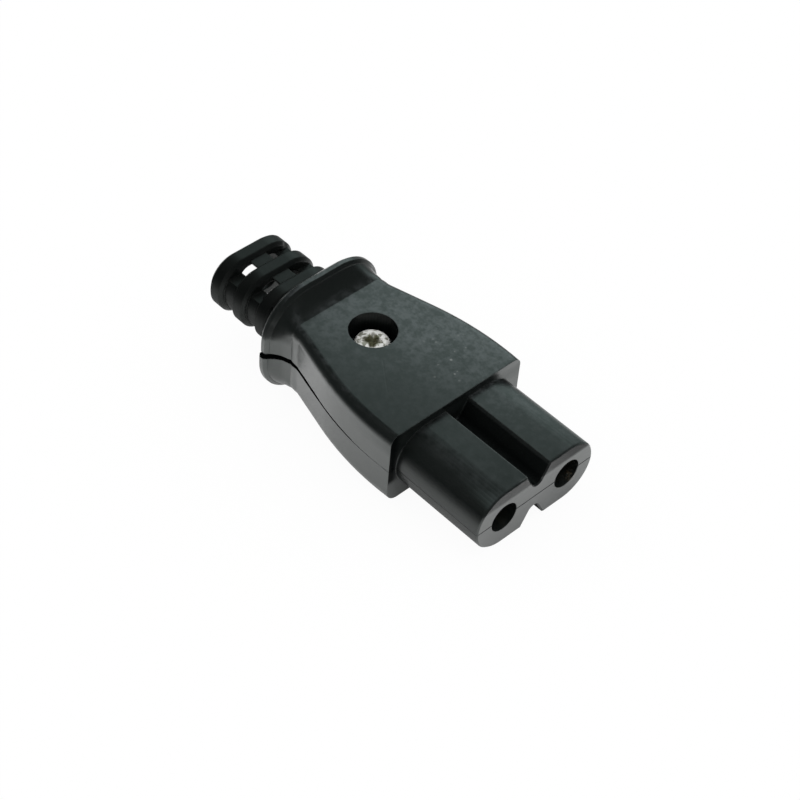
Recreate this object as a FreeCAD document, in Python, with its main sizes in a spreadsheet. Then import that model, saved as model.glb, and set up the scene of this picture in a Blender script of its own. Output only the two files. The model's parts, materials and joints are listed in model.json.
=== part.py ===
import FreeCAD, Part
import math
import os
from types import SimpleNamespace

import Sketcher
from FreeCAD import Placement, Rotation, Vector

# Rewireable figure eight connector, in millimetres.
# The origin is the centre of the nose's end face. +X is the way it plugs in, +Z is up, and the
# two shells meet on the plane Z = 0. A size called "at" is measured back from the end face.

SIZES = {
    # nose
    "nose_length": 11.25,
    "pin_pitch": 8.6,
    "lobe_radius": 3.63,
    "waist_half": 1.55,
    "waist_floor_half": 0.62,
    "waist_floor_up": 1.9,
    "waist_bend": 0.7,
    "channel_radius": 1.68,
    "nose_edge": 0.15,
    # body
    "front_half": 8.83,
    "shoulder_at": 22.5,
    "shoulder_half": 7.7,
    "crease_at": 28.6,
    "crease_half": 6.05,
    "body_half_height": 4.56,
    "top_edge_round": 1.05,
    "bottom_edge_round": 1.5,
    "parting_gap": 0.62,
    "parting_from": 12.0,
    "parting_hair": 0.16,
    "parting_opens_at": 25.0,
    # flared collar
    "flare_swell": 1.2,
    "flare_half": 6.7,
    "flare_half_height": 5.35,
    "flare_round": 2.9,
    "flare_length": 2.05,
    "crest_half": 7.75,
    "crest_half_height": 6.62,
    "crest_round": 5.4,
    "crest_step": 0.4,
    "crest_width": 1.2,
    "crest_edge": 0.35,
    "lower_overhang": 0.2,
    # inside of the shells
    "wall": 1.3,
    "seat_play": 0.1,
    "wire_gap": 2.4,
    "back_rail": 1.0,
    "chamber_end": 27.0,
    "throat_half": 3.9,
    "throat_half_height": 2.25,
    "throat_round": 2.15,
    "grip_rise": 0.7,
    "grip_root": 0.3,
    "grip_width": 0.6,
    "grip_pitch": 1.2,
    "lip_width": 0.4,
    "lip_rise": 0.6,
    # screw and nut that hold the shells
    "screw_at": 23.41,
    "boss_radius": 3.3,
    "counterbore_radius": 2.53,
    "head_seat_up": 1.7,
    "head_radius": 1.9,
    "head_height": 1.5,
    "head_crown": 0.6,
    "recess_reach": 1.1,
    "recess_width": 0.42,
    "recess_depth": 0.8,
    "screw_radius": 1.0,
    "screw_play": 0.12,
    "thread_play": 0.02,
    "screw_end_down": 4.3,
    "nut_flats": 4.0,
    "nut_height": 1.6,
    "nut_recess": 0.16,
    # contacts
    "contact_at": 1.9,
    "contact_length": 8.6,
    "contact_bore": 1.2,
    "contact_wall": 0.34,
    "contact_slit": 0.4,
    "tail_width": 1.2,
    "tail_end_play": 0.5,
    # terminals
    "block_length": 4.2,
    "block_width": 3.8,
    "block_half_height": 2.0,
    "cage_width": 2.9,
    "cage_roof_up": 1.0,
    "clamp_radius": 1.15,
    "clamp_head_radius": 1.7,
    "clamp_head_height": 1.0,
    "clamp_bevel": 0.25,
    "clamp_tip_up": 0.1,
    "clamp_slot": 0.5,
    # strain relief sleeve
    "neck_length": 2.2,
    "ring_pitch": 3.33,
    "ring_width": 1.95,
    "ring_half": 5.08,
    "ring_half_height": 3.42,
    "ring_round": 3.25,
    "ring_edge": 0.35,
    "neck_step": 0.46,
    "side_wall": 0.8,
    "roof_wall": 0.6,
    "mouth_bevel": 0.25,
    "top_web": 2.2,
    "side_web": 3.8,
    "flange_half": 5.5,
    "flange_half_height": 3.8,
    "flange_round": 3.4,
    "flange_thickness": 1.25,
    "flange_play": 0.1,
    "collar_lip": 0.8,
    "sleeve_drop": 0.48,
    "ring_lean": 0.19,
    # how far a cut runs past what it cuts
    "past": 1.0,
}
RINGS = 3


class Size:
    """A length together with the formula that ties it to the sheet."""

    def __init__(self, value, formula=None):
        self.value = float(value)
        self.formula = formula or repr(float(value))

    def _with(self, sign, other, value):
        return Size(value, f"({self.formula} {sign} {other.formula})")

    def __add__(self, other):
        other = as_size(other)
        return self._with("+", other, self.value + other.value)

    def __sub__(self, other):
        other = as_size(other)
        return self._with("-", other, self.value - other.value)

    def __mul__(self, other):
        other = as_size(other)
        return self._with("*", other, self.value * other.value)

    def __truediv__(self, other):
        other = as_size(other)
        return self._with("/", other, self.value / other.value)

    def root(self):
        return Size(math.sqrt(self.value), f"sqrt({self.formula})")

    def __neg__(self):
        return Size(-self.value, f"(-1 * {self.formula})")

    def __radd__(self, other):
        return as_size(other) + self

    def __rsub__(self, other):
        return as_size(other) - self

    def __rmul__(self, other):
        return as_size(other) * self


def as_size(length):
    return length if isinstance(length, Size) else Size(length)


def make_sheet(doc):
    """Write the sizes to the sheet and give each one back as a bound length."""
    sheet = doc.addObject("Spreadsheet::Sheet", "Sizes")
    for row, (name, value) in enumerate(SIZES.items(), start=1):
        sheet.set(f"A{row}", name)
        sheet.set(f"B{row}", str(value))
        sheet.setAlias(f"B{row}", name)
    doc.recompute()
    return SimpleNamespace(**{n: Size(sheet.get(n), f"Sizes.{n}") for n in SIZES})


def bind(thing, **lengths):
    """Tie properties of an object to the sheet."""
    for name, length in lengths.items():
        length = as_size(length)
        setattr(thing, name, length.value)
        thing.setExpression(name, length.formula)
    return thing


def place(thing, x=0, y=0, z=0, rotation=Rotation()):
    """Set an object's place and tie each coordinate to the sheet."""
    spot = [as_size(c) for c in (x, y, z)]
    thing.Placement = Placement(Vector(*(c.value for c in spot)), rotation)
    for axis, length in zip("xyz", spot):
        thing.setExpression(f"Placement.Base.{axis}", length.formula)
    return thing


class Outline:
    """A sketch on one of a body's own planes, with its corners held by the sheet."""

    def __init__(self, body, name, plane, away=0):
        self.sketch = body.newObject("Sketcher::SketchObject", name)
        origin = [f for f in body.Origin.OriginFeatures if f.Role == plane][0]
        away = as_size(away)
        self.sketch.AttachmentSupport = [(origin, "")]
        self.sketch.MapMode = "FlatFace"
        self.sketch.AttachmentOffset = Placement(Vector(0, 0, away.value), Rotation())
        self.sketch.setExpression("AttachmentOffset.Base.z", away.formula)
        self.count = 0

    def _hold(self, kind, *where, length):
        """Add one dimension and tie it to the sheet."""
        self.count += 1
        index = self.sketch.addConstraint(Sketcher.Constraint(kind, *where, length.value))
        self.sketch.renameConstraint(index, f"size{self.count}")
        self.sketch.setExpression(f"Constraints.size{self.count}", length.formula)

    def _pin(self, piece, end, x, y):
        """Hold one point of the sketch at x, y; a zero puts it on the axis."""
        for kind, axis, length in (("DistanceX", -2, x), ("DistanceY", -1, y)):
            if length.value == 0:
                self.sketch.addConstraint(Sketcher.Constraint("PointOnObject", piece, end, axis))
            else:
                self._hold(kind, -1, 1, piece, end, length=length)

    def around(self, *corners):
        """Close an outline. A third number after a corner is the radius of the arc to the next
        corner, positive when its centre is on the left of the way round."""
        corners = [tuple(as_size(c) for c in corner) for corner in corners]
        pieces = []
        for here, there in zip(corners, corners[1:] + corners[:1]):
            start = Vector(here[0].value, here[1].value, 0)
            end = Vector(there[0].value, there[1].value, 0)
            if len(here) == 2:
                pieces.append((self.sketch.addGeometry(Part.LineSegment(start, end)), 1, 2))
                continue
            radius = here[2].value
            chord = end - start
            left = Vector(-chord.y, chord.x, 0).normalize() * math.copysign(1, radius)
            rise = math.sqrt(max(radius**2 - chord.Length**2 / 4, 0))
            centre = (start + end) * 0.5 + left * rise
            first, last = (start, end) if radius > 0 else (end, start)
            angles = [math.atan2(p.y - centre.y, p.x - centre.x) for p in (first, last)]
            circle = Part.Circle(centre, Vector(0, 0, 1), abs(radius))
            piece = self.sketch.addGeometry(Part.ArcOfCircle(circle, *angles))
            pieces.append((piece, 1, 2) if radius > 0 else (piece, 2, 1))
        for (piece, _, last), (after, first, _) in zip(pieces, pieces[1:] + pieces[:1]):
            self.sketch.addConstraint(Sketcher.Constraint("Coincident", piece, last, after, first))
        for (piece, first, _), corner in zip(pieces, corners):
            self._pin(piece, first, corner[0], corner[1])
            if len(corner) == 3:
                radius = corner[2] if corner[2].value > 0 else -corner[2]
                self._hold("Radius", piece, length=radius)
        return self

    def circle(self, x, y, radius):
        x, y, radius = as_size(x), as_size(y), as_size(radius)
        ring = Part.Circle(Vector(x.value, y.value, 0), Vector(0, 0, 1), radius.value)
        piece = self.sketch.addGeometry(ring)
        self._pin(piece, 3, x, y)
        self._hold("Radius", piece, length=radius)
        return self


def feature(body, kind, name, outline, **settings):
    """Add a feature to a body; what it takes away or adds is checked at the end."""
    made = body.newObject(f"PartDesign::{kind}", name)
    made.Profile = outline.sketch
    outline.sketch.Visibility = False
    for key, value in settings.items():
        if isinstance(value, Size):
            bind(made, **{key: value})
        else:
            setattr(made, key, value)
    return made


def soften(body, kind, name, size, wanted):
    """Round or bevel the edges of the body so far that the test picks."""
    body.Document.recompute()
    base = body.Tip
    edges = [f"Edge{i}" for i, e in enumerate(base.Shape.Edges, start=1) if wanted(e)]
    made = body.newObject(f"PartDesign::{kind}", name)
    made.Base = (base, edges)
    return bind(made, **{"Radius" if kind == "Fillet" else "Size": size})


def new_body(doc, label):
    body = doc.addObject("PartDesign::Body", label)
    body.Label = label
    return body


def lies_at(edge, axis, place):
    """True where the whole edge lies on one plane across an axis."""
    box = edge.BoundBox
    low, high = (getattr(box, axis + "Min"), getattr(box, axis + "Max"))
    return abs(low - place) < 1e-4 and abs(high - place) < 1e-4


def half_arch(side, half, height, bend):
    """Corners of half a rounded rectangle that stands on the parting line."""
    turn = bend if side < 0 else -bend
    up = side * height
    spring = side * (height - bend)
    return (
        (-half, 0),
        (-half, spring, turn),
        (-(half - bend), up),
        (half - bend, up, turn),
        (half, spring),
        (half, 0),
    )


def stadium(half, height, bend, aside, middle):
    """Corners of a rounded rectangle about a middle, the other way round from a clock."""
    left, right = aside - half, aside + half
    low, high = middle - height, middle + height
    return (
        (right - bend, low, bend),
        (right, low + bend),
        (right, high - bend, bend),
        (right - bend, high),
        (left + bend, high, bend),
        (left, high - bend),
        (left, low + bend, bend),
        (left + bend, low),
    )


def make_shell(doc, d, label, side):
    """One moulded shell. Side is 1 for the upper one and -1 for the lower one."""
    body = new_body(doc, label)
    up = side > 0
    edge_round = d.top_edge_round if up else d.bottom_edge_round
    height = d.body_half_height
    crest_at = d.crease_at + d.flare_length
    back = crest_at + d.crest_width
    crest_half = d.crest_half if up else d.crest_half + d.lower_overhang

    # The body in plan: bowed sides that run on, straight, to the crease before the collar.
    run, fall = d.shoulder_at - d.nose_length, d.front_half - d.shoulder_half
    taper_run, taper_fall = d.crease_at - d.shoulder_at, d.shoulder_half - d.crease_half
    taper = (taper_run * taper_run + taper_fall * taper_fall).root()
    bow = (run * run + fall * fall) * taper / (2 * (run * taper_fall - fall * taper_run))
    plan = Outline(body, f"{label}_plan", "XY_Plane").around(
        (-d.nose_length, -d.front_half),
        (-d.nose_length, d.front_half, bow),
        (-d.shoulder_at, d.shoulder_half),
        (-d.crease_at, d.crease_half),
        (-d.crease_at, -d.crease_half),
        (-d.shoulder_at, -d.shoulder_half, bow),
    )
    feature(body, "Pad", f"{label}_block", plan, Length=height, Reversed=not up)
    top = side * height.value
    def runs_along_side(edge):
        box = edge.BoundBox
        ends_apart = box.XLength > 1
        return ends_apart and lies_at(edge, "Z", top)

    rounded = soften(body, "Fillet", f"{label}_edges", edge_round, runs_along_side)
    doc.recompute()
    back_face = [f"Face{i}" for i, face in enumerate(rounded.Shape.Faces, start=1)
                 if lies_at(face, "X", -d.crease_at.value)]

    # The collar flares from the crease and ends in a rounded crest.
    sections = []
    for name, away, half, tall, bend in (
        ("flare", d.crease_at + d.flare_swell, d.flare_half, d.flare_half_height, d.flare_round),
        ("crest_foot", crest_at, crest_half - d.crest_step,
         d.crest_half_height - d.crest_step, d.crest_round - d.crest_step),
    ):
        outline = Outline(body, f"{label}_{name}", "YZ_Plane", -away)
        sections.append(outline.around(*half_arch(side, half, tall, bend)))
    flare = body.newObject("PartDesign::AdditiveLoft", f"{label}_collar")
    flare.Profile = (rounded, back_face)
    flare.Sections = [s.sketch for s in sections]
    crest = Outline(body, f"{label}_crest", "YZ_Plane", -crest_at)
    crest.around(*half_arch(side, crest_half, d.crest_half_height, d.crest_round))
    feature(body, "Pad", f"{label}_rim", crest, Length=d.crest_width, Reversed=True)

    def is_rim(edge):
        if lies_at(edge, "Z", 0):
            return False
        far = max(abs(edge.BoundBox.YMax), abs(edge.BoundBox.YMin)) > crest_half.value - 0.01
        tall = abs(side * edge.BoundBox.ZMax) if up else abs(edge.BoundBox.ZMin)
        outer = far or tall > d.crest_half_height.value - 0.01
        return outer and (lies_at(edge, "X", -back.value) or lies_at(edge, "X", -crest_at.value))

    soften(body, "Chamfer", f"{label}_rim_edges", d.crest_edge, is_rim)

    # Half of the figure eight nose: round outside, flat topped inside, with a waist.
    lobe, pin = d.lobe_radius, d.pin_pitch / 2
    turn = lobe if side < 0 else -lobe
    waist = d.waist_bend if side > 0 else -d.waist_bend
    nose = Outline(body, f"{label}_eight", "YZ_Plane").around(
        (-(pin + lobe), 0, turn),
        (-pin, side * lobe),
        (-d.waist_half, side * lobe),
        (-d.waist_floor_half, side * d.waist_floor_up, waist),
        (d.waist_floor_half, side * d.waist_floor_up),
        (d.waist_half, side * lobe),
        (pin, side * lobe, turn),
        (pin + lobe, 0),
    )
    feature(body, "Pad", f"{label}_nose", nose, Length=d.nose_length, Reversed=True)

    def ends_nose(edge):
        return lies_at(edge, "X", 0) and not lies_at(edge, "Z", 0)

    soften(body, "Chamfer", f"{label}_nose_edges", d.nose_edge, ends_nose)

    # Contact channels, terminal seats and the gaps for the wires behind them.
    seat_at = d.nose_length + d.wall
    seat_end = seat_at + d.block_length + d.seat_play
    seat_half = d.block_width / 2 + d.seat_play
    floor = height - d.wall if up else d.block_half_height
    channels = Outline(body, f"{label}_channel_ends", "YZ_Plane")
    seats = Outline(body, f"{label}_seat_plan", "XY_Plane")
    gaps = Outline(body, f"{label}_gap_plan", "XY_Plane")
    for y in (-pin, pin):
        channels.circle(y, 0, d.channel_radius)
        seats.around((-seat_end, y - seat_half), (-seat_at, y - seat_half),
                     (-seat_at, y + seat_half), (-seat_end, y + seat_half))
        gaps.around((-(seat_end + d.back_rail), y - d.wire_gap / 2), (-seat_end, y - d.wire_gap / 2),
                    (-seat_end, y + d.wire_gap / 2), (-(seat_end + d.back_rail), y + d.wire_gap / 2))
    feature(body, "Pocket", f"{label}_channels", channels, Length=seat_at)
    feature(body, "Pocket", f"{label}_seats", seats, Length=floor, Reversed=up)
    feature(body, "Pocket", f"{label}_wire_gaps", gaps, Length=d.throat_half_height, Reversed=up)

    # The wire chamber, with the screw boss left standing in it. The lower one has thicker sides,
    # and from these a lip rises inside the upper one's.
    chamber_at = seat_end + d.back_rail
    inset = -d.seat_play if up else d.lip_width
    wide = d.shoulder_half - d.wall - inset
    narrow = wide - (d.chamber_end - d.shoulder_at) * taper_fall / taper_run
    chamber = Outline(body, f"{label}_chamber_plan", "XY_Plane").around(
        (-chamber_at, -wide), (-chamber_at, wide), (-d.shoulder_at, wide),
        (-d.chamber_end, narrow), (-d.chamber_end, -narrow), (-d.shoulder_at, -wide))
    chamber.circle(-d.screw_at, 0, d.boss_radius)
    feature(body, "Pocket", f"{label}_chamber", chamber, Length=height - d.wall, Reversed=up)

    # The way out for the cord: throat, seat of the sleeve's flange, and mouth in the rim.
    groove_end = back - d.collar_lip
    groove_at = groove_end - d.flange_thickness - d.flange_play
    drop = d.sleeve_drop
    neck_half = d.ring_half - d.neck_step
    neck_height = d.ring_half_height - d.neck_step
    neck_round = d.ring_round - d.neck_step
    for name, start, end, half, tall, bend in (
        ("throat", d.chamber_end, groove_at, d.throat_half, d.throat_half_height, d.throat_round),
        ("flange_seat", groove_at, groove_end, d.flange_half + d.flange_play,
         d.flange_half_height + drop, d.flange_round),
        ("mouth", groove_end, back, neck_half + d.flange_play, neck_height + drop, neck_round),
    ):
        outline = Outline(body, f"{label}_{name}_end", "YZ_Plane", -start)
        outline.around(*half_arch(side, half, tall, bend))
        feature(body, "Pocket", f"{label}_{name}", outline, Length=end - start)

    # Two ribs across the throat bite into the cord.
    grips = Outline(body, f"{label}_grip_ends", "XZ_Plane", d.throat_half)
    rib_tip = d.throat_half_height - d.grip_rise
    rib_root = d.throat_half_height + d.grip_root
    for count in range(2):
        rib_at = d.chamber_end + d.grip_pitch * count + d.grip_width
        grips.around((-rib_at, side * rib_root), (-(rib_at + d.grip_width / 2), side * rib_tip),
                     (-(rib_at + d.grip_width), side * rib_root))
    feature(body, "Pad", f"{label}_grips", grips, Length=d.throat_half * 2, Reversed=True)

    # Screw hole, with the counterbore above or the nut's pocket below.
    hole = Outline(body, f"{label}_hole_end", "XY_Plane")
    hole.circle(-d.screw_at, 0, d.screw_radius + d.screw_play)
    feature(body, "Pocket", f"{label}_hole", hole, Length=height, Reversed=up)
    if up:
        seat = Outline(body, f"{label}_counterbore_end", "XY_Plane", d.body_half_height)
        seat.circle(-d.screw_at, 0, d.counterbore_radius)
        feature(body, "Pocket", f"{label}_counterbore", seat, Length=height - d.head_seat_up)
    else:
        pocket = Outline(body, f"{label}_nut_end", "XY_Plane", -height)
        half = d.nut_flats / 2 + d.seat_play
        corner = half / math.sqrt(3)
        pocket.around((-d.screw_at - half, -corner), (-d.screw_at, -corner * 2),
                      (-d.screw_at + half, -corner), (-d.screw_at + half, corner),
                      (-d.screw_at, corner * 2), (-d.screw_at - half, corner))
        feature(body, "Pocket", f"{label}_nut_pocket", pocket,
                Length=d.nut_height + d.nut_recess, Reversed=True)

    # The shells part by a hair along the body and gape at the collar, where the sleeve holds
    # them open.
    wedge = Outline(body, f"{label}_gap_end", "XZ_Plane", crest_half + d.past)
    hair, gape = side * d.parting_hair / 2, side * d.parting_gap / 2
    wedge.around((-d.parting_from, 0), (-(back + d.past), 0), (-(back + d.past), gape),
                 (-d.crease_at, gape), (-d.parting_opens_at, hair))
    feature(body, "Pocket", f"{label}_parting", wedge, Length=(crest_half + d.past) * 2)
    if not up:
        lips = Outline(body, f"{label}_lip_plan", "XY_Plane", -d.parting_gap)
        front, rear = chamber_at + d.seat_play, d.chamber_end - d.seat_play
        near = wide + d.lip_width
        far = narrow + d.lip_width
        for hand in (1, -1):
            lips.around((-front, hand * wide), (-front, hand * near),
                        (-d.shoulder_at, hand * near), (-rear, hand * far),
                        (-rear, hand * narrow), (-d.shoulder_at, hand * wide))
        feature(body, "Pad", f"{label}_lips", lips, Length=d.parting_gap + d.lip_rise)
    return body


def make_sleeve(doc, d):
    """The rubber sleeve: a flange, a neck and rings on one hollow tube, with windows."""
    body = new_body(doc, "strain_relief_sleeve")
    collar_back = d.crease_at + d.flare_length + d.crest_width
    first_ring = collar_back + d.neck_length
    back = first_ring + d.ring_pitch * (RINGS - 1) + d.ring_width
    flange_end = collar_back - d.collar_lip
    flange_at = flange_end - d.flange_thickness
    middle = -d.sleeve_drop
    neck_half = d.ring_half - d.neck_step
    neck_height = d.ring_half_height - d.neck_step
    neck_round = d.ring_round - d.neck_step
    flange = Outline(body, "flange_end", "YZ_Plane", -flange_at)
    flange.around(*stadium(d.flange_half, d.flange_half_height, d.flange_round, 0, middle))
    feature(body, "Pad", "flange", flange, Length=d.flange_thickness, Reversed=True)
    # It bends a little sideways, so each ring stands further over than the one before.
    rings = []
    start = flange_at
    for count in range(RINGS):
        front = first_ring + d.ring_pitch * count
        end = front + d.ring_width
        aside = -(d.ring_lean * count)
        rings.append((front, end, aside))
        neck_aside = aside + d.ring_lean / 2 if count else 0
        neck = Outline(body, f"neck_{count}_end", "YZ_Plane", -start)
        neck.around(*stadium(neck_half, neck_height, neck_round, neck_aside, middle))
        feature(body, "Pad", f"neck_{count}", neck, Length=end - start, Reversed=True)
        ring = Outline(body, f"ring_{count}_end", "YZ_Plane", -front)
        ring.around(*stadium(d.ring_half, d.ring_half_height, d.ring_round, aside, middle))
        feature(body, "Pad", f"ring_{count}", ring, Length=d.ring_width, Reversed=True)
        start = end

    def inside(box, aside, half, tall):
        across = max(box.YMax - aside.value, aside.value - box.YMin)
        up = max(box.ZMax - middle.value, middle.value - box.ZMin)
        return across < half.value - 0.01 and up < tall.value - 0.01

    def is_ring_edge(edge):
        for front, end, aside in rings:
            if lies_at(edge, "X", -front.value) or lies_at(edge, "X", -end.value):
                return not inside(edge.BoundBox, aside, d.ring_half, d.ring_half_height)
        return False

    soften(body, "Chamfer", "ring_edges", d.ring_edge, is_ring_edge)

    # The passage for the cord, and two windows above and two below between the rings.
    passage = Outline(body, "passage_end", "YZ_Plane", -flange_at)
    passage.around(*stadium(neck_half - d.side_wall, neck_height - d.roof_wall,
                            neck_round - d.side_wall, rings[-1][2] / 2, middle))
    feature(body, "Pocket", "passage", passage, Length=back - flange_at)
    for count, (front, _, aside) in enumerate(rings):
        gap_at = front - d.ring_pitch + d.ring_width
        reach, tall = d.ring_half + d.past, d.ring_half_height + d.past
        window = Outline(body, f"window_{count}_end", "YZ_Plane", -gap_at)
        for y, z in ((1, 1), (-1, 1), (-1, -1), (1, -1)):
            window.around(
                (aside + y * d.top_web / 2, middle + z * d.side_web / 2),
                (aside + y * reach, middle + z * d.side_web / 2),
                (aside + y * reach, middle + z * tall),
                (aside + y * d.top_web / 2, middle + z * tall),
            )
        feature(body, "Pocket", f"window_{count}", window, Length=front - gap_at)

    def is_mouth_edge(edge):
        at_end = lies_at(edge, "X", -back.value)
        return at_end and inside(edge.BoundBox, rings[-1][2], neck_half, neck_height)

    soften(body, "Chamfer", "mouth_edges", d.mouth_bevel, is_mouth_edge)
    return body


def make_screw(doc, label, spot, radius, length, head):
    """A screw turned as one profile. Its origin is under the head, whose corners are given."""
    body = new_body(doc, label)
    profile = Outline(body, f"{label}_profile", "XZ_Plane").around(
        (0, -length), (radius, -length), (radius, 0), *head)
    turned = feature(body, "Revolution", f"{label}_turned", profile)
    turned.ReferenceAxis = (profile.sketch, ["V_Axis"])
    turned.Angle = 360
    return place(body, *spot)


def make_assembly_screw(doc, d):
    """The screw in the counterbore, with a cross recess."""
    pan = (
        (d.head_radius, 0),
        (d.head_radius, d.head_height - d.head_crown, d.head_crown),
        (d.head_radius - d.head_crown, d.head_height),
        (0, d.head_height),
    )
    body = make_screw(doc, "assembly_screw", (-d.screw_at, 0, d.head_seat_up), d.screw_radius,
                      d.head_seat_up + d.screw_end_down, pan)
    cross = Outline(body, "recess_end", "XY_Plane", d.head_height)
    reach, half = d.recess_reach, d.recess_width / 2
    cross.around(
        (reach, -half), (reach, half), (half, half), (half, reach), (-half, reach), (-half, half),
        (-reach, half), (-reach, -half), (-half, -half), (-half, -reach), (half, -reach),
        (half, -half),
    )
    feature(body, "Pocket", "recess", cross, Length=d.recess_depth)
    body.Placement.Rotation = Rotation(Vector(0, 0, 1), 45)
    return body


def make_nut(doc, d):
    """Hex nut in the pocket under the lower shell."""
    blank = doc.addObject("Part::Prism", "nut_blank")
    blank.Polygon = 6
    bind(blank, Circumradius=d.nut_flats / math.sqrt(3), Height=d.nut_height)
    bore = doc.addObject("Part::Cylinder", "nut_bore")
    bind(bore, Radius=d.screw_radius + d.thread_play, Height=d.nut_height)
    nut = doc.addObject("Part::Cut", "assembly_nut")
    nut.Base, nut.Tool = blank, bore
    nut.Label = "assembly_nut"
    turned = Rotation(Vector(0, 0, 1), 90)
    return place(nut, -d.screw_at, 0, d.nut_recess - d.body_half_height, turned)


def make_contact(doc, d, label, y):
    """A strip rolled into a slit tube, with a flat tail that lies in the terminal."""
    body = new_body(doc, label)
    outer = d.contact_bore + d.contact_wall
    tube = Outline(body, f"{label}_mouth", "YZ_Plane")
    tube.circle(0, 0, outer)
    tube.circle(0, 0, d.contact_bore)
    feature(body, "Pad", f"{label}_tube", tube, Length=d.contact_length, Reversed=True)
    slit = Outline(body, f"{label}_slit_plan", "XY_Plane").around(
        (-(d.contact_length + d.past), -d.contact_slit / 2), (d.past, -d.contact_slit / 2),
        (d.past, d.contact_slit / 2), (-(d.contact_length + d.past), d.contact_slit / 2))
    feature(body, "Pocket", f"{label}_slit", slit, Length=outer + d.past, Reversed=True)
    tail_end = d.nose_length + d.wall + d.block_length - d.contact_at - d.tail_end_play
    root = d.contact_length
    tail = Outline(body, f"{label}_tail_plan", "XY_Plane", -outer).around(
        (-tail_end, -d.tail_width / 2), (-root, -d.tail_width / 2),
        (-root, d.tail_width / 2), (-tail_end, d.tail_width / 2))
    feature(body, "Pad", f"{label}_tail", tail, Length=d.contact_wall)
    return place(body, -d.contact_at, y, 0)


def make_terminal(doc, d, label, y):
    """A brass cage over the contact's tail, threaded for its clamping screw."""
    seat_at = d.nose_length + d.wall
    floor_down = d.contact_bore + d.contact_wall
    block = doc.addObject("Part::Box", f"{label}_block")
    bind(block, Length=d.block_length, Width=d.block_width, Height=d.block_half_height * 2)
    place(block, -(seat_at + d.block_length), y - d.block_width / 2, -d.block_half_height)
    cage = doc.addObject("Part::Box", f"{label}_cage")
    bind(cage, Length=d.block_length, Width=d.cage_width, Height=floor_down + d.cage_roof_up)
    place(cage, -(seat_at + d.block_length), y - d.cage_width / 2, -floor_down)
    bore = doc.addObject("Part::Cylinder", f"{label}_thread")
    bind(bore, Radius=d.clamp_radius + d.thread_play, Height=d.block_half_height)
    place(bore, -(seat_at + d.block_length / 2), y, 0)
    hollow = doc.addObject("Part::Cut", f"{label}_hollow")
    hollow.Base, hollow.Tool = block, cage
    terminal = doc.addObject("Part::Cut", label)
    terminal.Base, terminal.Tool = hollow, bore
    terminal.Label = label
    return terminal


def make_terminal_screw(doc, d, label, y):
    """The slotted screw that clamps the wire."""
    at = d.nose_length + d.wall + d.block_length / 2
    cheese = (
        (d.clamp_head_radius, 0),
        (d.clamp_head_radius, d.clamp_head_height - d.clamp_bevel),
        (d.clamp_head_radius - d.clamp_bevel, d.clamp_head_height),
        (0, d.clamp_head_height),
    )
    body = make_screw(doc, label, (-at, y, d.block_half_height), d.clamp_radius,
                      d.block_half_height - d.clamp_tip_up, cheese)
    reach, half = d.clamp_head_radius + d.past, d.clamp_slot / 2
    slot = Outline(body, f"{label}_slot_end", "XY_Plane", d.clamp_head_height).around(
        (-reach, -half), (reach, -half), (reach, half), (-reach, half))
    feature(body, "Pocket", f"{label}_slot", slot, Length=d.clamp_head_height / 2)
    return body


def check(doc, parts):
    """Stop before anything is written if a feature failed or changed nothing."""
    for thing in doc.Objects:
        if {"Invalid", "Error"} & set(thing.State):
            raise RuntimeError(f"{thing.Name} failed: {thing.State}")
        if thing.TypeId in ("PartDesign::Pocket", "PartDesign::Groove"):
            before = thing.BaseFeature.Shape.Volume
            if thing.Shape.Volume > before - 1e-4:
                raise RuntimeError(f"{thing.Name} takes nothing away")
    for part in parts:
        if part.Shape.isNull() or not part.Shape.isValid():
            raise RuntimeError(f"{part.Label} has no sound shape")


def main():
    doc = FreeCAD.newDocument("figure_eight_connector")
    d = make_sheet(doc)
    parts = [
        make_shell(doc, d, "top_shell", 1),
        make_shell(doc, d, "bottom_shell", -1),
        make_sleeve(doc, d),
        make_assembly_screw(doc, d),
        make_nut(doc, d),
    ]
    for hand, y in (("left", -d.pin_pitch / 2), ("right", d.pin_pitch / 2)):
        parts.append(make_contact(doc, d, f"{hand}_contact", y))
        parts.append(make_terminal(doc, d, f"{hand}_terminal", y))
        parts.append(make_terminal_screw(doc, d, f"{hand}_terminal_screw", y))
    doc.recompute()
    check(doc, parts)
    os.makedirs("parts", exist_ok=True)
    for part in parts:
        part.Shape.exportStep(f"parts/{part.Label}.step")
        print(part.Label, len(part.Shape.Solids), round(part.Shape.Volume, 2))


main()
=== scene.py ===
import json
import math

import bmesh
import bpy
from mathutils import Matrix, Quaternion, Vector


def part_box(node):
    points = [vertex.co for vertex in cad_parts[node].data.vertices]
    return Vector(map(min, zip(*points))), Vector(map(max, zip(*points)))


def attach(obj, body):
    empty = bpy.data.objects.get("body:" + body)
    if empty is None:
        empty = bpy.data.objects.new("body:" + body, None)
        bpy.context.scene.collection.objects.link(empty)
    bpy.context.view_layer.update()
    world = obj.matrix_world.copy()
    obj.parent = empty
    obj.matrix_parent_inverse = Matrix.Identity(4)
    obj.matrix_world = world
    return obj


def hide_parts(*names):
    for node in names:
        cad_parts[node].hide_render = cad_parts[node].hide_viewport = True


# A rewireable figure eight connector on a white table. The nose points along +X, the two
# shells meet on Z = 0, and the screw's recess opens upwards. Lengths below are millimetres.

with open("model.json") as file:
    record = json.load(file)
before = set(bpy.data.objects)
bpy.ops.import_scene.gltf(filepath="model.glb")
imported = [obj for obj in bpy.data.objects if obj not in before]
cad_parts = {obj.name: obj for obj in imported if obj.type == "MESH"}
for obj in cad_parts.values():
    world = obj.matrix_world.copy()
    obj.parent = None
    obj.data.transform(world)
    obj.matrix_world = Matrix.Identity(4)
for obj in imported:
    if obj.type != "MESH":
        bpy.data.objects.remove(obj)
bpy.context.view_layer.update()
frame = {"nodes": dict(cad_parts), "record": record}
MM = 0.001

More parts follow.
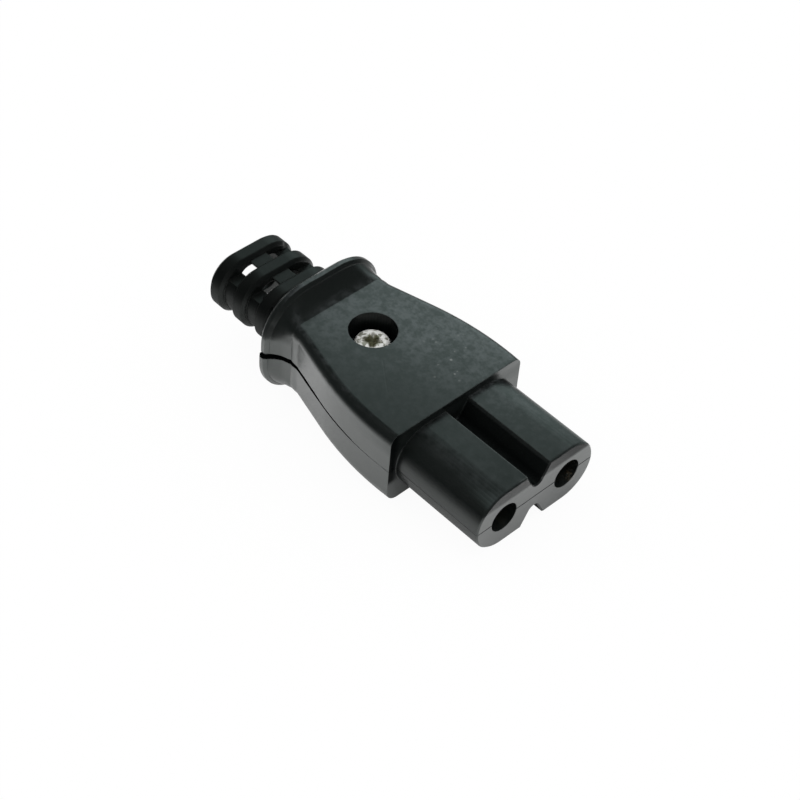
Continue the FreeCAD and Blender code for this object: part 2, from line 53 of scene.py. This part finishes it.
# camera
EYE = Vector((77.34, -102.47, 143.99)) * MM
AIM = Vector((-17.61, -1.37, 0.0)) * MM
ROLL = 5.04
LENS = 90.09
SENSOR = 36.0

# the angle between faces, in degrees, from which an edge is a crease
SHARP_FROM = 34.0

# assembly screw, fitted to the node that it stands for
SCREW_THREAD_PITCH = 0.4
SCREW_THREAD_DEPTH = 0.2
SCREW_SHANK_RADIUS = 1.0
HEAD_HEIGHT = 1.5
HEAD_CROWN = 0.75
HEAD_FLATNESS = 6.5
RECESS_REACH = 0.98
RECESS_HALF_WIDTH = 0.24
RECESS_DEPTH = 0.5
RECESS_BREAK = 0.14
RECESS_TURN = 45.0

# studio: where the pale screen stands, how wide it fades out, and the levels
SCREEN_SIDE = Vector((-0.42, 0.74, 0.52)).normalized()
SCREEN_REACH = (0.84, 0.985)
SCREEN_LEVEL = 0.57
SCREEN_COLOUR = (0.82, 1.0, 0.98)
ROOM_LEVEL = 0.02
SKY_LEVEL = 0.9
OVERHEAD_LEVEL = 0.3

# table: its size in metres, the strip of it that mirrors brightest, and how it fades away
TABLE_CORNERS = 96
TABLE_REACH = 6.0
TABLE_CLEARANCE = 0.01
TABLE_MIDDLE = -20.0
TABLE_HALF = 14.0
TABLE_FADE = (9.0, 42.0)
TABLE_FAR_LEVEL = 0.25
TABLE_WHITE = (0.92, 0.92, 0.92)

# the joint between the shells: how far from the middle plane its faces lie, the hairline
# that widens backwards from the front, and the wedge just before the open part
JOINT_HALF = 0.5
HAIR_FROM, HAIR_FULL = -12.0, -20.0
HAIR_RISE = 0.05
GAPE_FROM, GAPE_FULL, GAPE_TO = -21.5, -25.0, -27.3
GAPE_RISE = 0.09
JOINT_CUTS = 12

# the sides' swell at the crease before the collar
BEND_AT = -28.6
BEND_REACH = 1.2
BEND_RISE = 0.2
BEND_SKIN = (4.9, 5.6)
BEND_CUTS = 8

# the sleeve's passage: its middle, its half width and height, and the narrowed half width
PASSAGE_MIDDLE = Vector((-0.19, -0.48))
PASSAGE_HALF = Vector((3.82, 2.36))
PASSAGE_NARROWED = 2.85

# stretches over which places on the shells begin, from the first number to the second; those of
# the groove, well, corner and belly bound painted shade, those of the collar's rim and of the
# lobe's inner edge painted highlights
NOSE_ROOT = (-11.2, -11.0)
FRONT_FACE = (-12.4, -12.0)
COLLAR_FOOT = (-29.5, -28.0)
COLLAR_RIM = (-31.6, -31.2)
GROOVE_HALF = (2.4, 2.6)
GROOVE_BROW = (3.2, 3.45)
WELL_RADIUS = (2.5, 2.62)
WELL_FLOOR = (0.5, 1.0)
CORNER_SIDE = (-8.4, -7.0)
CORNER_FOOT = (-2.2, -1.4)
BELLY_TOP = (1.0, 3.0)
LIP_SIDE = (-2.6, -2.4)
LIP_END = (-1.2, -1.0)
LIP_FOOT = (2.8, 3.0)

# rough flash left in the right channel's mouth
FLASH_MIDDLE = Vector((-0.35, 5.35, -1.25))
FLASH_REACH = 0.75

# how the flat faces bow, per millimetre squared, and the marks on the upper shell
CROWN = 0.002
BOW = 0.004
BOW_MIDDLE = -20.0
FLOW_LINE = (Vector((-19.6, -2.2)), Vector((-16.4, -4.6)))
SCUFF_MIDDLE = Vector((-15.6, 3.4))
SCUFF_REACH = 4.2

# radii to which the finishes break the edges
SHELL_EDGE = 0.16
SLEEVE_EDGE = 0.2
METAL_EDGE = 0.05

# linear colours
# black of painted shade, also used for the seam line across the nose's end
PAINTED_SHADE_AND_SEAM_BLACK = (0.0015, 0.002, 0.002)
SHELL_BLACK = (0.0020, 0.0032, 0.0030)
# haze of the upper faces, also painted sheen where it grows towards the back and the far side
SHELL_HAZE_AND_SHEEN = (0.046, 0.052, 0.055)
SEAM_BLACK = (0.0008, 0.0012, 0.0012)
# painted highlight on the collar's back edge and on the left lobe's inner top edge
PAINTED_EDGE_HIGHLIGHT = (0.22, 0.24, 0.23)
WORN_EDGE = (0.060, 0.066, 0.062)
PALE_SPECK = (0.24, 0.25, 0.245)
FLOW_MARK = (0.012, 0.014, 0.014)
BROWN_FLASH = (0.085, 0.066, 0.040)
RUBBER_DARK = (0.0016, 0.0026, 0.0024)
RUBBER_PALE = (0.0040, 0.0048, 0.0042)
RUBBER_WORN = (0.035, 0.036, 0.032)
OLIVE_METAL = (0.34, 0.33, 0.21)
# painted highlight on the ring of the screw's head
PAINTED_HIGHLIGHT_METAL = (0.95, 0.95, 0.92)
ROLLED_BRASS = (0.74, 0.56, 0.27)
TARNISHED_BRASS = (0.50, 0.34, 0.15)


class Value:
    """A number in a node tree. Arithmetic on it adds Math nodes."""

    def __init__(self, tree, socket):
        self.tree = tree
        self.socket = socket

    def _math(self, operation, *terms):
        node = self.tree.add("ShaderNodeMath", {"operation": operation}, dict(enumerate(terms)))
        return Value(self.tree, node.outputs[0])

    def __add__(self, other):
        return self._math("ADD", self, other)

    def __sub__(self, other):
        return self._math("SUBTRACT", self, other)

    def __rsub__(self, other):
        return self._math("SUBTRACT", other, self)

    def __mul__(self, other):
        return self._math("MULTIPLY", self, other)

    def __truediv__(self, other):
        return self._math("DIVIDE", self, other)

    def __neg__(self):
        return self._math("MULTIPLY", self, -1.0)

    def __abs__(self):
        return self._math("ABSOLUTE", self)

    __radd__ = __add__
    __rmul__ = __mul__

    def root(self):
        return self._math("SQRT", self)

    def most(self, other):
        return self._math("MAXIMUM", self, other)

    def least(self, other):
        return self._math("MINIMUM", self, other)

    def step(self, low, high):
        """0 below low and 1 above high, with a smooth rise between them."""
        node = self.tree.add(
            "ShaderNodeMapRange",
            {"interpolation_type": "SMOOTHSTEP"},
            {"Value": self, "From Min": low, "From Max": high},
        )
        return Value(self.tree, node.outputs["Result"])


class Tree:
    """A node tree that is filled through one method."""

    def __init__(self, owner):
        owner.use_nodes = True
        self.nodes = owner.node_tree.nodes
        self.links = owner.node_tree.links
        self.nodes.clear()

    def add(self, kind, settings=None, inputs=None):
        """Add a node, set it up, then give its sockets their values or links."""
        node = self.nodes.new(kind)
        for name, setting in (settings or {}).items():
            setattr(node, name, setting)
        for name, given in (inputs or {}).items():
            socket = node.inputs[name]
            if isinstance(given, Value):
                self.links.new(given.socket, socket)
            elif isinstance(given, bpy.types.NodeSocket):
                self.links.new(given, socket)
            elif isinstance(given, tuple) and len(given) == 3 and socket.type == "RGBA":
                socket.default_value = (*given, 1.0)
            else:
                socket.default_value = given
        return node

    def value(self, kind, output, settings=None, inputs=None):
        return Value(self, self.add(kind, settings, inputs).outputs[output])

    def blend(self, share, first, second):
        """A colour between two, at the share of the second one."""
        node = self.add("ShaderNodeMix", {"data_type": "RGBA"}, {"Factor": share})
        colours = [s for s in node.inputs if s.type == "RGBA"]
        for socket, colour in zip(colours, (first, second)):
            if isinstance(colour, tuple):
                socket.default_value = (*colour, 1.0)
            else:
                self.links.new(colour, socket)
        return [s for s in node.outputs if s.type == "RGBA"][0]


class Finish(Tree):
    """A procedural material, worked out in millimetres on the object."""

    def __init__(self, name):
        self.material = bpy.data.materials.new(name)
        super().__init__(self.material)
        place = self.add("ShaderNodeTexCoord").outputs["Object"]
        scaled = self.add("ShaderNodeVectorMath", {"operation": "SCALE"},
                          {0: place, "Scale": 1 / MM})
        self.place = scaled.outputs["Vector"]
        parts = self.add("ShaderNodeSeparateXYZ", inputs={"Vector": self.place})
        self.x, self.y, self.z = (Value(self, parts.outputs[axis]) for axis in "XYZ")

    def stretched(self, factors):
        """The place on the object, stretched along the axes."""
        node = self.add("ShaderNodeVectorMath", {"operation": "MULTIPLY"},
                        {0: self.place, 1: factors})
        return node.outputs["Vector"]

    def noise(self, size, detail=2.0, rough=0.5, place=None):
        """Soft noise from 0 to 1 whose blobs are about so many millimetres wide."""
        return self.value("ShaderNodeTexNoise", "Fac", None,
                          {"Vector": place or self.place, "Scale": 1 / size, "Detail": detail,
                           "Roughness": rough})

    def dots(self, pitch, place=None):
        """The distance to the nearest of many scattered points, in pitches."""
        return self.value("ShaderNodeTexVoronoi", "Distance", None,
                          {"Vector": place or self.place, "Scale": 1 / pitch})

    def facing(self):
        """The surface's own direction, as three values."""
        normal = self.add("ShaderNodeNewGeometry").outputs["Normal"]
        parts = self.add("ShaderNodeSeparateXYZ", inputs={"Vector": normal})
        return [Value(self, parts.outputs[axis]) for axis in "XYZ"]

    def rounded(self, radius):
        """The normal of edges that are broken by a small radius."""
        return self.add("ShaderNodeBevel", {"samples": 4}, {"Radius": radius * MM}).outputs[0]

    def edges(self, radius):
        """How near the surface is to a sharp edge, from 0 to 1."""
        normal = self.add("ShaderNodeNewGeometry").outputs["Normal"]
        node = self.add("ShaderNodeVectorMath", {"operation": "DOT_PRODUCT"},
                        {0: normal, 1: self.rounded(radius)})
        return (1 - Value(self, node.outputs["Value"])).step(0.005, 0.12)

    def relief(self, height, normal):
        """A normal that follows a height in millimetres."""
        return self.add("ShaderNodeBump", None,
                        {"Height": height * MM, "Distance": 1.0, "Strength": 1.0,
                         "Normal": normal}).outputs["Normal"]

    def distance(self, middle):
        """How far the surface is from a point, in millimetres."""
        node = self.add("ShaderNodeVectorMath", {"operation": "DISTANCE"},
                        {0: self.place, 1: tuple(middle)})
        return Value(self, node.outputs["Value"])

    def finish(self, shaded=None, **sockets):
        """Close the tree with one surface shader, dead black where shade is painted and along a
        given seam line.
        """
        inputs = {name.replace("_", " "): given for name, given in sockets.items()}
        surface = self.add("ShaderNodeBsdfPrincipled", None, inputs).outputs[0]
        if shaded:
            black = self.add("ShaderNodeBsdfPrincipled", None,
                             {"Base Color": PAINTED_SHADE_AND_SEAM_BLACK, "Roughness": 1.0,
                              "Specular IOR Level": 0.0})
            mixed = self.add("ShaderNodeMixShader", None,
                             {"Fac": shaded, 1: surface, 2: black.outputs[0]})
            surface = mixed.outputs[0]
        self.add("ShaderNodeOutputMaterial", None, {"Surface": surface})
        return self.material


def distance_to_line(finish, start, end):
    """The distance in plan from a straight stretch between two points."""
    along = (end - start).normalized()
    run = (finish.x - start.x) * along.x + (finish.y - start.y) * along.y
    across = (finish.y - start.y) * along.x - (finish.x - start.x) * along.y
    past = (-run).most(run - (end - start).length).most(0.0)
    return abs(across).most(past)


def from_screw(finish):
    """The distance in plan from the assembly screw's axis."""
    low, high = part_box("assembly_screw")
    axis = (low + high) / 2 / MM
    across, aside = finish.x - axis.x, finish.y - axis.y
    return (across * across + aside * aside).root()


def painted_shade_and_seam(plastic, nose, ahead, aside, above):
    """Painted shade where little light gets in: the joint's faces, the groove, the screw's well,
    the front face's left corner and the nose's lower side towards -Y; and the dark seam line
    across the nose's end.
    """
    height = abs(plastic.z)
    # The joint's faces, the groove, the well, the corner and the belly are painted shade; the
    # crack is the seam line across the nose's end.
    joint = (1 - height.step(JOINT_HALF, JOINT_HALF + 0.02)) * abs(above).step(0.7, 0.9)
    groove = (nose * (1 - abs(plastic.y).step(*GROOVE_HALF))
              * (1 - plastic.z.step(*GROOVE_BROW)) * (1 - ahead.step(0.6, 0.8)) * 0.75)
    well = ((1 - from_screw(plastic).step(*WELL_RADIUS)) * (1 - above.step(0.5, 0.8))
            * plastic.z.step(*WELL_FLOOR) * 0.9)
    corner = ((1 - nose) * ahead.step(0.7, 0.9) * (1 - plastic.y.step(*CORNER_SIDE))
              * plastic.z.step(*CORNER_FOOT) * 0.9)
    belly = nose * (-aside).step(0.4, 0.9) * (1 - plastic.z.step(*BELLY_TOP)) * 0.45
    crack = (1 - height.step(0.03, 0.09)) * ahead.step(0.9, 0.97) * nose * 0.85
    return joint.most(groove).most(well).most(corner).most(belly).most(crack)


def pale_specks(plastic):
    """A patch of small scuffs on the upper shell."""
    across, aside = plastic.x - SCUFF_MIDDLE.x, plastic.y - SCUFF_MIDDLE.y
    away = across * across + aside * aside
    patch = 1 - away.step(1.0, SCUFF_REACH * SCUFF_REACH)
    speck = 1 - plastic.dots(0.7).step(0.12, 0.26)
    few = plastic.noise(1.7, 1.0).step(0.46, 0.6)
    return patch * speck * few


def shell_plastic():
    """Satin black moulding with haze, flow marks, scuffs, a seam and broken edges, with painted
    sheen in the haze, painted highlights on two edges and painted shade in its hollows and
    corners.
    """
    plastic = Finish("shell_plastic_satin")
    sink = plastic.noise(14.0, 1.0)
    cloud = plastic.noise(5.0, 3.0)
    mottle = plastic.noise(0.9, 3.0)
    fine = plastic.noise(0.32, 3.0)
    grain = plastic.noise(0.14, 2.0)
    edge = plastic.edges(SHELL_EDGE)
    ahead, aside, above = plastic.facing()
    up = above.step(0.8, 0.95)
    nose = plastic.x.step(*NOSE_ROOT)

    # Marks of moulding, handling and wear, and two painted highlights: on the collar's back edge
    # and on the left lobe's inner top edge.
    scuff = pale_specks(plastic) * up
    hair = abs(plastic.noise(2.2, 1.0, place=plastic.stretched((0.25, 1.6, 1.0))) - 0.5)
    scratch = (1 - hair.step(0.0, 0.012)) * plastic.noise(3.0).step(0.5, 0.62)
    flow = (1 - distance_to_line(plastic, *FLOW_LINE).step(0.02, 0.12)) * up
    flash = 1 - plastic.distance(FLASH_MIDDLE).step(0.2, FLASH_REACH)
    crumb = flash * plastic.noise(0.22, 3.0).step(0.42, 0.56)
    split = (1 - abs(plastic.z).step(0.025, 0.07)) * plastic.x.step(*FRONT_FACE)
    rim = edge * (1 - plastic.x.step(*COLLAR_RIM)) * plastic.z.step(-1.0, 1.0)
    painted_lip_highlight = (edge * nose * plastic.z.step(*LIP_FOOT)
           * plastic.y.step(*LIP_SIDE) * (1 - plastic.y.step(*LIP_END)))

    # The gloss: more towards the back and the far side, and on the end face's near half.
    gloss_and_painted_sheen = (plastic.y * 2 - plastic.x).step(5.0, 32.0)
    rear = plastic.x.step(*COLLAR_FOOT) * (-plastic.x).step(17.0, 25.0) * (1 - up)
    end_left = ahead.step(0.85, 0.97) * nose * (1 - plastic.y.step(-1.0, 6.0))
    coat = 0.45 + up * (gloss_and_painted_sheen - 0.6) * 0.7 + rear * 0.55 + end_left * 0.5

    # Mottled haze on upward faces, growing towards the back and the far side as painted sheen for
    # the stronger reflection there.
    blotch = (cloud * 0.45 + mottle * 0.65 + fine * 0.4).step(0.6, 0.95)
    colour = plastic.blend(blotch * up * (0.25 + gloss_and_painted_sheen * 0.9), SHELL_BLACK, SHELL_HAZE_AND_SHEEN)
    colour = plastic.blend(split * 0.9, colour, SEAM_BLACK)
    # painted highlights on the collar's back edge and on the left lobe's inner top edge
    colour = plastic.blend((rim * 0.8).most(painted_lip_highlight * 0.55), colour, PAINTED_EDGE_HIGHLIGHT)
    colour = plastic.blend(edge * 0.4 * mottle, colour, WORN_EDGE)
    colour = plastic.blend(scuff * 0.6, colour, PALE_SPECK)
    colour = plastic.blend(flow * 0.45, colour, FLOW_MARK)
    colour = plastic.blend(crumb * 0.8, colour, BROWN_FLASH)

    along = plastic.x - BOW_MIDDLE
    crown = plastic.y * plastic.y * CROWN + along * along * BOW * plastic.z.step(2.0, 4.0)
    height = (sink * 0.10 + cloud * 0.016 + mottle * 0.005 + grain * 0.0011 - scratch * 0.0012
              - flow * 0.004 + scuff * 0.004 + crumb * 0.08 - crown - split * 0.03)
    return plastic.finish(
        shaded=painted_shade_and_seam(plastic, nose, ahead, aside, above),
        Base_Color=colour,
        Roughness=0.25 + mottle * 0.10 + cloud * 0.05 + scuff * 0.15 - edge * 0.04,
        IOR=1.6,
        Specular_IOR_Level=1.0,
        Specular_Tint=(0.93, 1.0, 0.97, 1.0),
        Coat_Weight=coat,
        Coat_Roughness=0.22,
        Normal=plastic.relief(height, plastic.rounded(SHELL_EDGE)),
    )


def sleeve_rubber():
    """Soft black rubber, duller than the shells, with painted shade on the near ends of its rings,
    where they face -Y.
    """
    rubber = Finish("sleeve_rubber_matt")
    cloud = rubber.noise(3.0, 3.0)
    mottle = rubber.noise(0.6, 2.0)
    grain = rubber.noise(0.1, 2.0)
    edge = rubber.edges(SLEEVE_EDGE)
    # painted shade on the faces that look towards -Y
    painted_shade_near_ends = (-rubber.facing()[1]).step(0.2, 0.9)
    tone = rubber.blend(cloud.step(0.3, 0.7), RUBBER_DARK, RUBBER_PALE)
    colour = rubber.blend(edge * mottle * 0.4, tone, RUBBER_WORN)
    height = cloud * 0.01 + mottle * 0.004 + grain * 0.0015
    return rubber.finish(
        shaded=painted_shade_near_ends * 0.6,
        Base_Color=colour,
        Roughness=0.34 + mottle * 0.12,
        IOR=1.5,
        Specular_IOR_Level=0.7,
        Specular_Tint=(0.93, 1.0, 0.96, 1.0),
        Normal=rubber.relief(height, rubber.rounded(SLEEVE_EDGE)),
    )


def plated_steel():
    """Nickel on steel: an olive middle, and round it a pale painted highlight ring broken by
    chips.
    """
    steel = Finish("plated_steel_bright")
    cloud = steel.noise(0.6, 3.0)
    rub = steel.noise(0.3, 2.0, place=steel.stretched((1.0, 0.4, 1.0)))
    grain = steel.noise(0.06, 2.0)
    chips = steel.noise(0.55, 3.0).step(0.38, 0.5)
    out = from_screw(steel) + cloud * 1.2
    # painted highlight: a pale, less metallic ring round the head's middle, broken by chips
    bright = out.step(1.2, 1.7) * (1 - out.step(2.45, 2.75)) * (0.35 + chips * 0.65)
    height = rub * 0.02 + chips * 0.03 + grain * 0.0006
    return steel.finish(
        Base_Color=steel.blend(bright, OLIVE_METAL, PAINTED_HIGHLIGHT_METAL),
        Metallic=0.9 - bright * 0.75,
        Roughness=0.25 + rub * 0.2,
        Normal=steel.relief(height, steel.rounded(METAL_EDGE)),
    )


def contact_brass():
    """Rolled brass strip with a light tarnish."""
    brass = Finish("contact_brass_rolled")
    cloud = brass.noise(1.6, 3.0)
    drawn = brass.noise(0.2, 2.0, place=brass.stretched((0.12, 1.0, 1.0)))
    colour = brass.blend(cloud.step(0.35, 0.7), ROLLED_BRASS, TARNISHED_BRASS)
    return brass.finish(
        Base_Color=colour,
        Metallic=1.0,
        Roughness=0.24 + drawn * 0.2,
        Normal=brass.relief(drawn * 0.002, brass.rounded(METAL_EDGE)),
    )


def piece(name, points, faces, material):
    """A smooth mesh from points in metres, which goes with the connector."""
    mesh = bpy.data.meshes.new(name)
    mesh.from_pydata(points, [], faces)
    mesh.validate()
    mesh.materials.append(material)
    for polygon in mesh.polygons:
        polygon.use_smooth = True
    made = bpy.data.objects.new(name, mesh)
    bpy.context.scene.collection.objects.link(made)
    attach(made, "root")
    return made


def reshaped(node_name, piece_name, cuts, move):
    """A copy of a node's mesh, cut across X at some places and with its points moved."""
    node = frame["nodes"][node_name]
    made_of = bmesh.new()
    made_of.from_mesh(node.data)
    for cut in cuts:
        everything = made_of.verts[:] + made_of.edges[:] + made_of.faces[:]
        bmesh.ops.bisect_plane(made_of, geom=everything, dist=1e-7, plane_co=(cut * MM, 0, 0),
                               plane_no=(1, 0, 0))
    for point in made_of.verts:
        point.co = Vector(move(*(point.co / MM))) * MM
    mesh = bpy.data.meshes.new(piece_name)
    made_of.to_mesh(mesh)
    made_of.free()
    for place in node.material_slots:
        mesh.materials.append(place.material)
    for polygon in mesh.polygons:
        polygon.use_smooth = True
    mesh.set_sharp_from_angle(angle=math.radians(SHARP_FROM))
    made = bpy.data.objects.new(piece_name, mesh)
    bpy.context.scene.collection.objects.link(made)
    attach(made, "root")
    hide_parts(node_name)
    return made


def softened_bend(x, y, z):
    """The sides run into the collar in one sweep, and the joint opens before them."""
    near = max(0.0, 1 - ((x - BEND_AT) / BEND_REACH) ** 2) ** 2
    y += math.copysign(BEND_RISE * near * smooth_rise(abs(y), *BEND_SKIN), y)
    if 0 < abs(z) < JOINT_HALF:
        closed = smooth_rise(x, GAPE_TO, GAPE_FULL)
        opened = GAPE_RISE * smooth_rise(-x, -GAPE_FROM, -GAPE_FULL)
        hair = HAIR_RISE * smooth_rise(-x, -HAIR_FROM, -HAIR_FULL)
        z += math.copysign((opened + hair) * closed, z)
    return x, y, z


def narrowed_passage(x, y, z):
    """The sleeve's side walls are thicker inside."""
    across, up = y - PASSAGE_MIDDLE.x, z - PASSAGE_MIDDLE.y
    if abs(across) < PASSAGE_HALF.x + 0.01 and abs(up) < PASSAGE_HALF.y + 0.01:
        across *= PASSAGE_NARROWED / PASSAGE_HALF.x
    return x, PASSAGE_MIDDLE.x + across, z


def smooth_rise(value, low, high):
    share = min(max((value - low) / (high - low), 0.0), 1.0)
    return share * share * (3 - 2 * share)


def recess_depth(x, y):
    """How far the cross recess goes down at a point of the head, before its slope."""
    turn = math.radians(RECESS_TURN)
    u = abs(x * math.cos(turn) + y * math.sin(turn))
    v = abs(y * math.cos(turn) - x * math.sin(turn))
    wing = min(max(u - RECESS_REACH, v - RECESS_HALF_WIDTH),
               max(v - RECESS_REACH, u - RECESS_HALF_WIDTH))
    out = math.hypot(x, y) / RECESS_REACH
    return RECESS_DEPTH * (1 - 0.45 * out) * (1 - smooth_rise(wing, -RECESS_BREAK, RECESS_BREAK))


def assembly_screw(material):
    """The pan head screw, with its cross recess and the thread down its shank."""
    low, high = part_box("assembly_screw")
    axis = (low + high) / 2 / MM
    top, end = high.z / MM, low.z / MM
    head_radius = (high.x - low.x) / 2 / MM
    seat = top - HEAD_HEIGHT
    shank = SCREW_SHANK_RADIUS
    around = 96
    rows = []
    # Head, from the middle out and down to the seat.
    rings = 44
    for ring in range(rings + 1):
        out = ring / rings
        reach = head_radius * math.sin(out * math.pi / 2) if out < 1 else head_radius
        fall = 1 - math.sqrt(max(0.0, 1 - (reach / head_radius) ** HEAD_FLATNESS))
        rows.append(("head", reach, top - HEAD_CROWN * fall))
    rows += [("wall", head_radius, seat + 0.05), ("wall", head_radius - 0.05, seat),
             ("wall", shank, seat)]
    # Shank, with a thread that fades in below the head.
    turns = 132
    for row in range(turns + 1):
        rows.append(("thread", shank, seat - (seat - end) * row / turns))
    rows += [("wall", shank * 0.7, end), ("wall", 0.02, end)]
    points = []
    for kind, reach, height in rows:
        for step in range(around):
            angle = 2 * math.pi * step / around
            radius, z = reach, height
            if kind == "thread":
                phase = (height / SCREW_THREAD_PITCH - step / around) % 1
                ridge = 1 - abs(2 * phase - 1)
                fade = smooth_rise(seat - height, 0.3, 0.9) * smooth_rise(height - end, 0.0, 0.2)
                radius = reach - SCREW_THREAD_DEPTH * (1 - ridge) * fade
            x, y = radius * math.cos(angle), radius * math.sin(angle)
            if kind == "head":
                z -= recess_depth(x, y)
            points.append(Vector((axis.x + x, axis.y + y, z)) * MM)
    faces = [[i * around + j, i * around + (j + 1) % around,
              (i + 1) * around + (j + 1) % around, (i + 1) * around + j]
             for i in range(len(rows) - 1) for j in range(around)]
    faces = [list(reversed(face)) for face in faces]
    faces.append([(len(rows) - 1) * around + j for j in reversed(range(around))])
    made = piece("assembly_screw_cross_head", points, faces, material)
    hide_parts("assembly_screw")
    return made


def dress():
    """Give each node its finish, and stand in the pieces that have finer forms."""
    finishes = {"shell_plastic": shell_plastic(), "sleeve_rubber": sleeve_rubber(),
                "plated_steel": plated_steel(), "contact_brass": contact_brass()}
    for part in frame["record"]["subparts"]:
        node = frame["nodes"][part["node"]]
        for place in node.material_slots:
            place.material = finishes[part["material_slot"]]
    assembly_screw(finishes["plated_steel"])
    bend_front = BEND_AT + BEND_REACH
    cuts = [BEND_AT + BEND_REACH * (step / BEND_CUTS) for step in range(-BEND_CUTS, BEND_CUTS + 1)]
    cuts += [HAIR_FULL + (bend_front - HAIR_FULL) * (step / JOINT_CUTS)
             for step in range(JOINT_CUTS)]
    for side in ("top", "bottom"):
        reshaped(f"{side}_shell", f"{side}_shell_moulding", cuts, softened_bend)
    reshaped("strain_relief_sleeve", "strain_relief_moulding", (), narrowed_passage)


def lying_slope():
    """The slope of a table that carries the nose's end and the collar."""
    points = [v.co for v in frame["nodes"]["bottom_shell"].data.vertices]
    front = max(p.x for p in points)
    toe = min((p for p in points if p.x > front - MM), key=lambda p: p.z)
    slope = max((toe.z - p.z) / (toe.x - p.x) for p in points if p.x < toe.x - MM)
    return toe, slope


def table():
    """A white table under the connector, which lies on its nose and its collar."""
    toe, slope = lying_slope()
    turns = [2 * math.pi * i / TABLE_CORNERS for i in range(TABLE_CORNERS)]
    rim = [Vector((math.cos(turn), math.sin(turn), 0)) * TABLE_REACH for turn in turns]
    mesh = bpy.data.meshes.new("table")
    mesh.from_pydata(rim, [], [list(range(TABLE_CORNERS))])
    surface = bpy.data.objects.new("table", mesh)
    bpy.context.scene.collection.objects.link(surface)
    surface.matrix_world = (Matrix.Translation((toe.x, 0, toe.z - TABLE_CLEARANCE * MM))
                            @ Matrix.Rotation(-math.atan(slope), 4, "Y"))
    paint = bpy.data.materials.new("table_white")
    tree = Tree(paint)
    path = tree.add("ShaderNodeLightPath")
    camera_ray, through, mirrored = (
        Value(tree, path.outputs[name])
        for name in ("Is Camera Ray", "Is Transmission Ray", "Is Glossy Ray"))
    spot = tree.add("ShaderNodeNewGeometry").outputs["Position"]
    parts = tree.add("ShaderNodeSeparateXYZ", inputs={"Vector": spot})
    x, y = (Value(tree, parts.outputs[axis]) / MM for axis in "XY")
    past_end = (abs(x - TABLE_MIDDLE) - TABLE_HALF).most(0.0)
    far = (past_end * past_end + y * y).root().step(*TABLE_FADE)
    lit = tree.add("ShaderNodeBsdfDiffuse", None, {"Color": TABLE_WHITE})
    seen = camera_ray.most(through)
    level = 1 - mirrored * (1 - seen) * far * (1 - TABLE_FAR_LEVEL)
    white = tree.add("ShaderNodeEmission", None, {"Color": (1.0, 1.0, 1.0), "Strength": level})
    share = (seen * 0.95).most(mirrored * (0.08 + far * 0.92))
    mixed = tree.add("ShaderNodeMixShader", None,
                     {"Fac": share, 1: lit.outputs[0], 2: white.outputs[0]})
    tree.add("ShaderNodeOutputMaterial", None, {"Surface": mixed.outputs[0]})
    mesh.materials.append(paint)


def studio():
    """Even soft light. Reflections see a pale screen behind and a dim room elsewhere."""
    world = bpy.data.worlds.new("studio")
    bpy.context.scene.world = world
    tree = Tree(world)
    path = tree.add("ShaderNodeLightPath")
    camera_ray, through, mirrored = (
        Value(tree, path.outputs[name])
        for name in ("Is Camera Ray", "Is Transmission Ray", "Is Glossy Ray"))
    direction = tree.add("ShaderNodeTexCoord").outputs["Generated"]
    toward = tree.add("ShaderNodeVectorMath", {"operation": "DOT_PRODUCT"},
                      {0: direction, 1: SCREEN_SIDE})
    screen = Value(tree, toward.outputs["Value"]).step(*SCREEN_REACH)
    parts = tree.add("ShaderNodeSeparateXYZ", inputs={"Vector": direction})
    soft = SKY_LEVEL + Value(tree, parts.outputs["Z"]).most(0.0) * OVERHEAD_LEVEL
    room = ROOM_LEVEL + screen * (SCREEN_LEVEL - ROOM_LEVEL)
    seen = camera_ray.most(through)
    level = mirrored * room + (1 - mirrored) * soft
    level = seen + (1 - seen) * level
    cast = tree.blend(mirrored * (1 - seen), (1.0, 1.0, 1.0), SCREEN_COLOUR)
    light = tree.add("ShaderNodeBackground", None, {"Color": cast, "Strength": level})
    tree.add("ShaderNodeOutputWorld", None, {"Surface": light.outputs[0]})


def camera():
    """The photograph's view."""
    data = bpy.data.cameras.new("camera")
    data.lens = LENS
    data.sensor_width = SENSOR
    data.clip_start, data.clip_end = 0.01, 50.0
    made = bpy.data.objects.new("camera", data)
    made.location = EYE
    made.rotation_mode = "QUATERNION"
    made.rotation_quaternion = ((AIM - EYE).to_track_quat("-Z", "Y")
                                @ Quaternion((0, 0, 1), math.radians(ROLL)))
    bpy.context.scene.collection.objects.link(made)
    bpy.context.scene.camera = made


dress()
table()
studio()
camera()
bpy.context.scene.view_settings.view_transform = "Standard"
